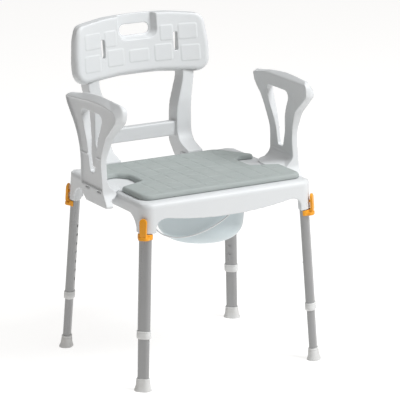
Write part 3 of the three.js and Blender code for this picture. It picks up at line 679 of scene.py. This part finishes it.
def tile_cover(x, z):
    """How far each point of the panel's front is on a raised tile, from 0 to 1."""
    cover = np.zeros(len(x))
    for x0, x1, z0, z1 in TILES:
        dx = np.abs(x - (x0 + x1) / 2) - (x1 - x0) / 2 + TILE_CORNER
        dz = np.abs(z - (z0 + z1) / 2) - (z1 - z0) / 2 + TILE_CORNER
        corner = np.hypot(np.maximum(dx, 0), np.maximum(dz, 0))
        outside = corner + np.minimum(np.maximum(dx, dz), 0) - TILE_CORNER
        cover = np.maximum(cover, 1 - smoothstep(outside, -1.6, 1.6))
    return cover


def build_panel():
    """Modelled flat with its front at Y = 0, then bowed and leaned."""
    corners = mirrored(PANEL_FRONT)
    back = mirrored(PANEL_BACK)
    rings = []
    for k in range(9):
        angle = math.pi / 2 * k / 8
        y = PANEL_DEPTH * (1 - math.cos(angle))
        rings.append([(x, y, z) for x, z in rounded(inset(corners, -PANEL_SIDE * math.sin(angle)))])
    panel = common(loft(rings), prism("y", rounded(back), -1, PANEL_DEPTH + 1))
    hollow = common(
        prism("y", rounded(inset(corners, -PANEL_SIDE + 14)), PANEL_SKIN, PANEL_DEPTH + 2),
        prism("y", rounded(inset(back, PANEL_SKIN + 1)), 0, PANEL_DEPTH + 3))
    hollow = cut(hollow, recess(PANEL_SKIN))
    for side in (-1, 1):
        hollow = cut(hollow, box(both_sides(SLOT_SLEEVE[0], side), *SLOT_SLEEVE[1:]))
    panel = cut(panel, hollow, recess(0), prism("y", rounded(HAND_HOLE), -2, PANEL_DEPTH + 3))
    for side in (-1, 1):
        slot = SLOT if side > 0 else [(-x, z, r) for x, z, r in reversed(SLOT)]
        notch = box(both_sides(UPRIGHT_NOTCH[0], side), *UPRIGHT_NOTCH[1:])
        panel = cut(panel, prism("y", rounded(slot), -3, SLOT_DEPTH + 1), notch)
    mould(panel, 1.6, 4)
    points = read_points(panel)
    x, y, z = points.T
    raised = TILE_HEIGHT * tile_cover(np.abs(x), z) * (1 - smoothstep(y, 0.6, 2.5))
    points[:, 1] += panel_y(x, z) - raised
    write_points(panel, points)
    return panel


finish_piece(build_panel(), "back_rest_panel", "backrest", WHITE, "white_plastic", "back_panel")


# ---------------------------------------------------------------- pan and its handle
PAN_Y, PAN_TURN = -58.0, math.radians(-76)
PAN_BASE, PAN_RIM_Z = 342.0, 455.0
PAN_FLAT, PAN_HEEL, PAN_WAIST, PAN_MOUTH, PAN_RIM = 64.0, 108.0, 116.5, 122.0, 137.0
PAN_WALL = 2.5
PIVOT_Z = 449.0
BAIL_ACROSS, BAIL_DOWN, BAIL_SWING, BAIL_WIRE = 137.0, 146.0, math.radians(55), 1.8
PAN_PLACE = Matrix.Translation((0, PAN_Y, 0)) @ Matrix.Rotation(PAN_TURN, 4, "Z")


def build_pan():
    """A turned bowl, its skin given as (radius, height), with two ears for the bail."""
    base, shoulder, rim = PAN_BASE, PAN_BASE + 50, PAN_RIM_Z
    wall = PAN_WALL
    outer = [(PAN_FLAT, base)]
    outer += bezier((PAN_FLAT, base), (92, base), (PAN_HEEL, base + 22), 10)
    outer += bezier((PAN_HEEL, base + 22), (115, base + 31), (PAN_WAIST, shoulder), 6)
    outer += [(PAN_MOUTH, rim), (PAN_RIM - 1, rim), (PAN_RIM, rim + 1)]
    inner = [(PAN_RIM, rim + 2.4), (PAN_RIM - 1, rim + 3), (PAN_MOUTH - wall + 1, rim + 3)]
    inner += [(PAN_MOUTH - wall, rim + 1.5), (PAN_WAIST - wall, shoulder)]
    inner += bezier((PAN_WAIST - wall, shoulder), (115 - wall, base + 32), (PAN_HEEL - wall, base + 24), 6)
    inner += bezier((PAN_HEEL - wall, base + 24), (91, base + wall), (PAN_FLAT, base + wall), 10)
    pan = loft([[(x, y, z) for x, y in circle(0, 0, r, steps=128)] for r, z in outer + inner])
    for side in (-1, 1):
        ear = box(both_sides((PAN_MOUTH - 2, BAIL_ACROSS - 6.5), side), (-6, 6), (PIVOT_Z - 6, rim + 1))
        hole = prism("x", circle(0, PIVOT_Z, BAIL_WIRE + GAP), *both_sides((PAN_MOUTH + 1.5, 140), side))
        pan = cut(join(pan, ear), hole)
    transform(pan, PAN_PLACE)
    pan.data.set_sharp_from_angle(angle=math.radians(40))
    return pan


def sweep(path, radius, sides=12):
    """A closed round wire along a path in the XZ plane."""
    rings = []
    for i, point in enumerate(path):
        ahead = path[min(i + 1, len(path) - 1)] - path[max(i - 1, 0)]
        ahead.normalize()
        across = Vector((0, 1, 0))
        up = ahead.cross(across)
        turns = (2 * math.pi * k / sides for k in range(sides))
        rings.append([point + (across * math.cos(a) + up * math.sin(a)) * radius for a in turns])
    return loft(rings)


def build_bail():
    """A half oval of wire whose ends turn inwards through the ears."""
    tip, bend = BAIL_ACROSS - 12, BAIL_ACROSS - 5
    steps = 72
    path = [Vector((tip, 0, 0)), Vector((bend, 0, 0))]
    for i in range(1, steps):
        t = math.pi * i / steps
        path.append(Vector((BAIL_ACROSS * math.cos(t), 0, -BAIL_DOWN * math.sin(t))))
    path += [Vector((-bend, 0, 0)), Vector((-tip, 0, 0))]
    bail = sweep(path, BAIL_WIRE)
    place = PAN_PLACE @ Matrix.Translation((0, 0, PIVOT_Z)) @ Matrix.Rotation(-BAIL_SWING, 4, "X")
    return transform(bail, place)


finish_piece(build_pan(), "pan_bowl", "pan", PAN, "pan_plastic", "commode_pan")
finish_piece(build_bail(), "pan_bail", "handle", WIRE, "handle_wire", "pan_handle")


# ---------------------------------------------------------------- legs
TUBE_BOTTOM, TUBE_TOP = 150.0, 487.0
LOWER_BOTTOM, LOWER_TOP = 7.0, 300.0
BUTTON_Z, BUTTON_R, HOLE_PITCH = 270.0, 3.9, 25.0
PEG_Z, PEG_R = 440.0, 4.0
CLIP_LOW, CLIP_HIGH, TAB_TOP = 403.0, 419.0, 461.0
COLLAR_LOW, COLLAR_HIGH = 139.0, 160.0
FOOT_HEIGHT = 33.0


def tube(wide, deep, low, high, holes):
    """An oval tube with round holes (height, reach): inner side below a reach of 0, outer side above."""
    pipe = cut(
        prism("z", stadium(wide, deep, 16), low, high),
        prism("z", stadium(wide - 2 * TUBE_WALL, deep - 2 * TUBE_WALL, 16), low - 5, high + 5))
    for z, reach in holes:
        pipe = cut(pipe, prism("y", circle(0, z, BUTTON_R + GAP), *sorted((0, reach))))
    pipe.data.set_sharp_from_angle(angle=math.radians(40))
    return pipe


def oval_loft(levels):
    return loft([[(x, y, z) for x, y in stadium(wide, deep, 14)] for z, wide, deep in levels])


def leg_bore(low, high):
    """The space that the lower tube takes in a collar or a foot."""
    return prism("z", stadium(LOWER_WIDE + 0.7, LOWER_DEEP + 0.7, 14), low, high)


def build_collar():
    """A ring round the lower end of the upper tube, with a groove below its top."""
    low, high = COLLAR_LOW, COLLAR_HIGH
    wide, deep = TUBE_WIDE + 4.6, TUBE_DEEP + 4.6
    levels = [
        (low, 4), (low + 0.6, 2.2), (low + 2.4, 0), (high - 5, 0), (high - 4.4, 0.9),
        (high - 3.8, 0.9), (high - 3.2, 0), (high - 1, 0.4), (high, 1.8)]
    collar = cut(
        oval_loft([(z, wide - less, deep - less) for z, less in levels]),
        leg_bore(low - 3, TUBE_BOTTOM - GAP),
        prism("z", stadium(TUBE_WIDE + 0.7, TUBE_DEEP + 0.7, 14), TUBE_BOTTOM - GAP, high + 3))
    collar.data.set_sharp_from_angle(angle=math.radians(50))
    return collar


def build_clip():
    """A half ring round the tube with a finger tab standing off the socket, and a peg into it."""
    low, high = CLIP_LOW, CLIP_HIGH
    ring = oval_loft([
        (low, 38.5, 27), (low + 1, 40.6, 29.1), (low + 2.5, 41.5, 30),
        (high - 4, 41.5, 30), (high - 2, 41, 29.5), (high - 1, 39.5, 28)])
    lip = prism("z", rounded([(-17, 5, 0), (17, 5, 0), (13, 27, 11), (-13, 27, 11)]), low, low + 8)
    bore = prism("z", stadium(TUBE_WIDE + 0.7, TUBE_DEEP + 0.7, 14), low - 3, high + 3)
    ring = cut(join(ring, lip), bore, box((-30, 30), (-30, 0), (380, 430)))
    tab_front = rounded([(-9, low + 3, 7), (9, low + 3, 7), (10, TAB_TOP, 9.6), (-10, TAB_TOP, 9.6)])
    tab_side = rounded([
        (14, low + 2, 2), (22, low + 2, 4), (26, low + 14, 20), (26, TAB_TOP - 8, 20),
        (24, TAB_TOP + 2, 3), (19.5, TAB_TOP + 2, 2), (18.5, high + 2, 4), (14, high - 1, 1)])
    tab = common(prism("y", tab_front, 10, 30), prism("x", tab_side, -12, 12))
    peg = prism("y", circle(0, PEG_Z, PEG_R), 7.5, 20.5)
    return mould(join(ring, tab, peg), 0.8, 4)


def build_foot(matrix):
    """A flared foot whose sole is cut level with the floor."""
    top = FOOT_HEIGHT
    levels = [
        (-9, 47, 36), (1.5, 47, 36), (3, 46.4, 35.4), (6, 43.5, 32.4), (12, 40.2, 29), (20, 38, 26.8),
        (top - 6, 37, 25.6), (top - 5.4, 36.1, 24.7), (top - 4.6, 36.1, 24.7),
        (top - 4, 36.9, 25.5), (top - 1.5, 36.4, 25), (top, 34.4, 23)]
    foot = cut(oval_loft(levels), leg_bore(LOWER_BOTTOM - GAP, 50))
    transform(foot, matrix)
    foot = cut(foot, box((-500, 500), (-500, 500), (-60, 0)))
    foot.data.set_sharp_from_angle(angle=math.radians(50))
    return foot


upper_tube = tube(
    TUBE_WIDE, TUBE_DEEP, TUBE_BOTTOM, TUBE_TOP,
    [(BUTTON_Z + step * HOLE_PITCH, -30) for step in range(-3, 4)] + [(PEG_Z, 30)])
lower_tube = tube(LOWER_WIDE, LOWER_DEEP, LOWER_BOTTOM, LOWER_TOP, [(BUTTON_Z, -30)])
collar = build_collar()
clip = build_clip()
for corner, sx, sy in CORNERS:
    matrix = leg_matrix(sx, sy)
    for pattern, name, body, material, slot in (
            (upper_tube, "leg_tube_upper", "chair", TUBE, "tube_aluminium"),
            (lower_tube, "leg_tube_lower", f"leg_{corner}", TUBE, "tube_aluminium"),
            (collar, "leg_collar", "chair", COLLAR, "collar_plastic"),
            (clip, "leg_clip", f"clip_{corner}", ORANGE, "orange_plastic")):
        piece = transform(duplicate(pattern), matrix)
        finish_piece(piece, f"{name}_look_{corner}", body, material, slot, f"{name}_{corner}")
    foot = build_foot(matrix)
    finish_piece(foot, f"foot_look_{corner}", f"leg_{corner}", RUBBER, "foot_rubber", f"leg_foot_{corner}")
for pattern in (upper_tube, lower_tube, collar, clip):
    bpy.data.objects.remove(pattern)


# ---------------------------------------------------------------- CAD pieces that stay
for name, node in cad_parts.items():
    if node.hide_render:
        continue
    material = WHITE if name.startswith("pan_rail") else STEEL
    node.data.materials.clear()
    node.data.materials.append(material)
    node.data.shade_smooth()
    node.data.set_sharp_from_angle(angle=math.radians(40))


# ---------------------------------------------------------------- floor, light and camera
def add_area(name, place, target, size, power):
    light = bpy.data.lights.new(name, "AREA")
    light.shape = "DISK"
    light.size = size
    light.energy = power
    light.color = (0.965, 0.985, 1)
    lamp = bpy.data.objects.new(name, light)
    lamp.location = place
    lamp.rotation_euler = (Vector(target) - Vector(place)).to_track_quat("-Z", "Y").to_euler()
    bpy.context.scene.collection.objects.link(lamp)


FLOOR_REACH, FLOOR_Z = 6000, -0.2
floor_corners = [
    (x * FLOOR_REACH, y * FLOOR_REACH, FLOOR_Z) for x, y in ((-1, -1), (1, -1), (1, 1), (-1, 1))]
floor = mesh_object("floor", floor_corners, [(0, 1, 2, 3)])
floor.data.materials.append(new_material(
    "floor", grey(0.35), 0.9, Emission_Color=(1, 0.992, 0.982, 1), Emission_Strength=0.8))

world = bpy.data.worlds.new("studio")
world.use_nodes = True
background = world.node_tree.nodes["Background"]
background.inputs["Color"].default_value = (1, 0.97, 0.94, 1)
background.inputs["Strength"].default_value = 0.25
bpy.context.scene.world = world
MIDDLE = (0, 0, 0.45)
add_area("key", (2.0, -2.7, 4.0), MIDDLE, 2.2, 215)
add_area("top", (0, 0, 4.4), MIDDLE, 3.0, 50)
bpy.context.scene.view_settings.view_transform = "Standard"

AZIMUTH, ELEVATION = math.radians(-30.0096), math.radians(15.1855)
DISTANCE, LENS = 7.7512, 262.06
target = Vector((0, -0.0585 + SHIFT * MM, 0.4421))
level = math.cos(ELEVATION)
backward = Vector((math.sin(AZIMUTH) * level, -math.cos(AZIMUTH) * level, math.sin(ELEVATION)))
camera_data = bpy.data.cameras.new("camera")
camera_data.lens = LENS
camera_data.clip_end = 100
camera = bpy.data.objects.new("camera", camera_data)
camera.location = target + backward * DISTANCE
camera.rotation_euler = (-backward).to_track_quat("-Z", "Y").to_euler()
bpy.context.scene.collection.objects.link(camera)
bpy.context.scene.camera = camera
